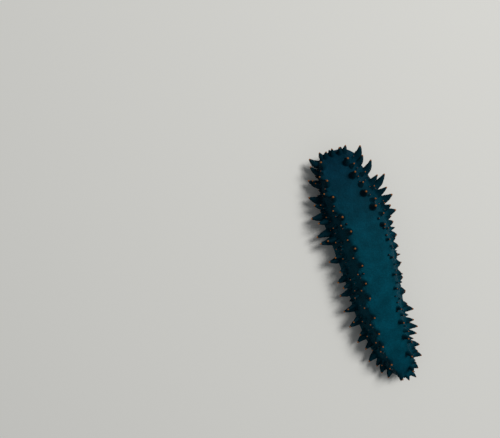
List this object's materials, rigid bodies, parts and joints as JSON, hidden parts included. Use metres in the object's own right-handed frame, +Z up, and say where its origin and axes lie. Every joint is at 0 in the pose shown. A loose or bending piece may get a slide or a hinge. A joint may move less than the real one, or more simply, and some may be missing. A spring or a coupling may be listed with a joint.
{
  "type": "sea cucumber",
  "caption": "Life-size still model of a creeping sea cucumber: four-sided body, orange-tipped papillae along its edges, tube feet and a mouth with feeding tentacles below.",
  "frame": {"origin": "on the floor, on the flat of the tube foot under the middle of the body", "axes": "+Y from the head end to the tail end, +X towards the animal's left side, +Z up through its back"},
  "size_m": [0.0775, 0.2192, 0.0415],
  "materials": {
    "back_skin": "satin, dark blue-green, with orange tips on the papillae",
    "sole_skin": "satin, dull grey-green with paler tube feet",
    "mouth_flesh": "moist, olive grey"
  },
  "bodies": {
    "root": {"head_end": "back_skin", "trunk_front": "back_skin", "trunk_middle": "back_skin", "trunk_rear": "back_skin", "tail_end": "back_skin", "sole_front": "sole_skin", "sole_middle": "sole_skin", "sole_rear": "sole_skin", "mouth_tentacles": "mouth_flesh"}
  },
  "joints": []
}
